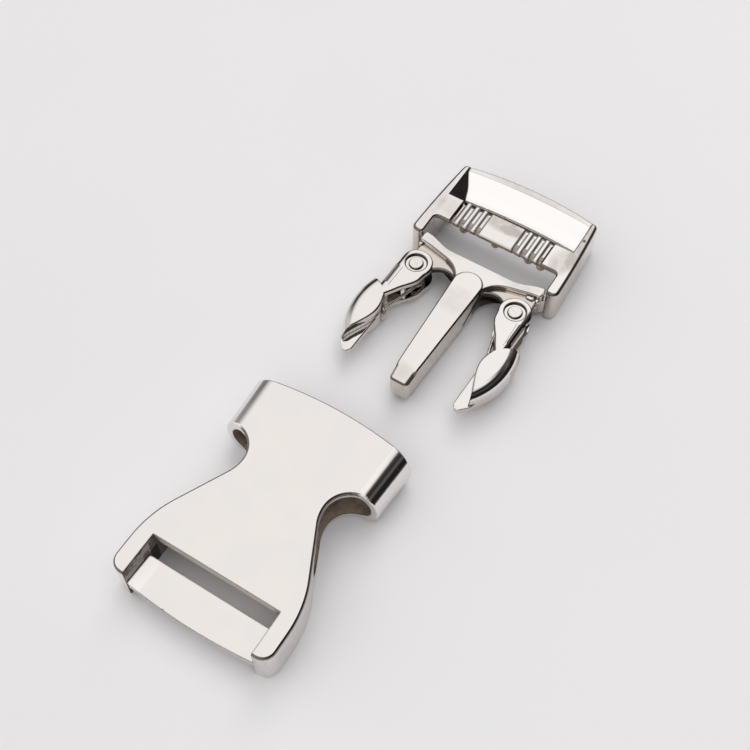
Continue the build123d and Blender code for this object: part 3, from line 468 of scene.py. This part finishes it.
def arm_dark(x, y, z, nx, ny, nz):
    # painted shade in the ring groove round the pin, in the pin's hole and on the arm's inner walls near the pin
    r = pin_distance(x, y)
    rings = (r.between(1.93, 2.22, 0.10) + r.step(1.52, 1.40)) * z.step(6.4, 6.5)
    near = (y - PLUG_Y - PIN_Y).between(-6.5, 3.0, 1.0)
    return z.between(2.72, 5.9, 0.1) * near * nz.abs().step(0.6, 0.3) * 0.75 + rings * 0.85


def arm_black(x, y, z, nx, ny, nz):
    """A thin painted dark line, the reflection of a rounded edge, along the inner side of the neck's curved flank."""
    u, v = (x - PLUG_X).abs() - PIN_X, y - PLUG_Y - PIN_Y
    return (u + v * 0.03).between(1.44, 1.60, 0.06) * v.between(-7.3, -2.2, 0.8) * z.step(6.9, 7.0) * 0.45


def arm_lift(x, y, z, nx, ny, nz):
    """The foot of the hook's inner wall, where it runs out into the tip's ledge."""
    inward = ((x - PLUG_X) * nx).step(-1.0, -4.0)
    return inward * nz.abs().step(0.6, 0.3) * z.step(4.75, 4.85) * z.step(5.80, 5.60) * (y - PLUG_Y - PIN_Y).step(-11.5, -12.5)


def arm_flank(x, y, z, nx, ny, nz):
    """The neck's outer flank, which curves down towards its side."""
    u, v = (x - PLUG_X).abs() - PIN_X, y - PLUG_Y - PIN_Y
    return u.step(1.5, 3.1) * (v - u * 0.2).between(-7.2, -2.6, 0.5) * z.step(6.5, 6.7) * nz.step(0.5, 0.8)


def arm_dull(x, y, z, nx, ny, nz):
    # painted shade: the arms' upright sides and the ledge made browner and rougher
    sides = nz.abs().step(0.5, 0.2) * z.step(7.1, 6.2) * 0.8
    ledge = z.between(3.6, 4.2, 0.1) * nz.step(0.5, 0.8) * 0.7
    return sides + ledge


materials = {
    "socket": nickel("nickel_socket", cast=socket_cast, dark=socket_dark, dull=socket_dull, rim=socket_rim,
                     matte=socket_matte, end_light=socket_end_light, seed=0.0),
    "plug_frame": nickel("nickel_plug", cast=plug_cast, dark=plug_dark, dull=plug_dull, bright=plug_painted_highlight,
                         smudge=plug_smudge, rim=plug_rim, ribs=plug_ribs, dents=plug_dents,
                         black=plug_black, edge=0.00042, seed=3.1),
    "arm_left": nickel("nickel_arm_left", cast=arm_cast, dark=arm_dark, dull=arm_dull, rim=arm_rim,
                       black=arm_black, lift=arm_lift, lean=(arm_flank, (-0.42, 0.0, 0.0)), edge=0.00040, seed=7.3),
    "arm_right": nickel("nickel_arm_right", cast=arm_cast, dark=arm_dark, dull=arm_dull, rim=arm_rim,
                        black=arm_black, lift=arm_lift, lean=(arm_flank, (0.42, 0.0, 0.0)), edge=0.00040, seed=11.9),
}


def pin_metal():
    mat, tree, shader, mm, coords = start_material("pin_metal")
    x, y, z = split(tree, mm)
    fine = noise(tree, mm, 3.0, 4.0, 0.6)
    # painted shade: the pin darker below its top face, where it sits down in the ring groove
    edge = z.step(7.22, 7.08)
    colour = mix_colour(tree, fine.step(0.4, 0.7), (0.82, 0.79, 0.76), (0.74, 0.70, 0.66))
    colour = mix_colour(tree, edge * 0.6, colour, (0.40, 0.34, 0.30))
    tree.links.new(colour, shader.inputs["Base Color"])
    shader.inputs["Metallic"].default_value = 1.0
    tree.links.new((fine * 0.10 + 0.08 + edge * 0.15).socket, shader.inputs["Roughness"])
    tree.links.new(bump(tree, fine, 0.000012), shader.inputs["Normal"])
    return mat


def wire_metal():
    mat, tree, shader, mm, coords = start_material("spring_wire")
    fine = noise(tree, mm, 5.0, 4.0, 0.6)
    along = noise(tree, mm, 1.0, 3.0, 0.6, stretch=(7.0, 0.7, 7.0))
    colour = mix_colour(tree, along.step(0.42, 0.75), (0.86, 0.84, 0.81), (0.58, 0.54, 0.50))
    tree.links.new(colour, shader.inputs["Base Color"])
    shader.inputs["Metallic"].default_value = 1.0
    tree.links.new((fine * 0.12 + 0.12).socket, shader.inputs["Roughness"])
    tree.links.new(bump(tree, along, 0.000010), shader.inputs["Normal"])
    return mat


materials["pin_left"] = materials["pin_right"] = pin_metal()
WIRE_METAL = wire_metal()
materials["spring_left"] = materials["spring_right"] = WIRE_METAL
for node, mat in materials.items():
    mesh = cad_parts[node].data
    mesh.materials.clear()
    mesh.materials.append(mat)


# ---------------------------------------------------------------- spring wires
# Each wire runs from the coil held in the crossbar to the bead; it is copied from its spring part as a fixed mesh, and
# the spring part is hidden.
for name, sign in (("left", -1), ("right", 1)):
    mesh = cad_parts["spring_" + name].data.copy()
    mesh.name = "wire_" + name
    wire = bpy.data.objects.new("wire_" + name, mesh)
    bpy.context.scene.collection.objects.link(wire)
    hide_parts("spring_" + name)
    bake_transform(wire)


# ---------------------------------------------------------------- floor
def floor_material():
    mat, tree, shader, mm, coords = start_material("floor_paper")
    soft = noise(tree, mm, 0.012, 2.0, 0.5)
    colour = mix_colour(tree, soft.step(0.3, 0.7), (0.775, 0.770, 0.785), (0.785, 0.780, 0.793))
    tree.links.new(colour, shader.inputs["Base Color"])
    shader.inputs["Roughness"].default_value = 0.9
    shader.inputs["Specular IOR Level"].default_value = 0.1
    return mat


bpy.ops.mesh.primitive_plane_add(size=3.0, location=(0, 0, -0.00002))
floor = bpy.context.object
floor.name = "floor"
floor.data.materials.append(floor_material())


# ---------------------------------------------------------------- studio light
# A pale wall of light on the left and in front, a dark room on the right, and a
# greyer gap low down at the left back. Measured round the compass by flat directions.
world = bpy.data.worlds.new("studio")
bpy.context.scene.world = world
world.use_nodes = True
wt = world.node_tree
background = wt.nodes["Background"]
direction = wt.nodes.new("ShaderNodeTexCoord").outputs["Generated"]
dx, dy, dz = split(wt, direction)
flat = (dx * dx + dy * dy + 0.0001).op("SQRT")
ux, uy = dx / flat, dy / flat
light_side = (ux + uy * 0.2).step(0.35, 0.05).max(dz.step(0.86, 0.93))
gap = (ux * -0.743 + uy * 0.669).step(0.86, 0.97)
gap_level = dz.step(0.30, 0.82) * 0.94 + dz.step(0.06, 0.0) * 0.15 + 0.07
wall = dz.step(0.05, 0.85) * 0.22 + 0.87
left_level = wall * gap.flip() + gap_level * gap
back_glow = uy.step(0.55, 0.95) * dz.step(0.88, 0.70) * 0.26 + uy.step(-0.35, -0.80) * dz.step(0.25, 0.50) * 0.50
dark_level = dz.step(0.16, 0.0) * 0.22 + dz.between(0.54, 0.70, 0.20) * 0.10 + dz.step(0.70, 0.95) * 0.06 + back_glow + 0.016
level = left_level * light_side + dark_level * light_side.flip()
tint = mix_colour(wt, light_side, (0.98, 0.95, 0.94), (1.0, 0.985, 0.975))
wt.links.new(tint, background.inputs["Color"])
wt.links.new(level.socket, background.inputs["Strength"])


def area(name, location, size, power, colour=(1, 1, 1), glossy=False, target=(0, 0, 0)):
    data = bpy.data.lights.new(name, "AREA")
    data.shape = "DISK"
    data.size = size
    data.energy = power
    data.color = colour
    lamp = bpy.data.objects.new(name, data)
    bpy.context.scene.collection.objects.link(lamp)
    lamp.location = location
    lamp.rotation_euler = (Vector(location) - Vector(target)).to_track_quat("Z", "Y").to_euler()
    lamp.visible_glossy = glossy
    return lamp


area("key", (-0.25, 0.90, 1.25), 1.15, 5.5, (1.0, 0.99, 0.985))
area("fill", (0.55, 0.15, 1.20), 1.3, 4.2, (0.98, 0.99, 1.0))

scene = bpy.context.scene
scene.view_settings.view_transform = "Standard"
scene.view_settings.look = "None"
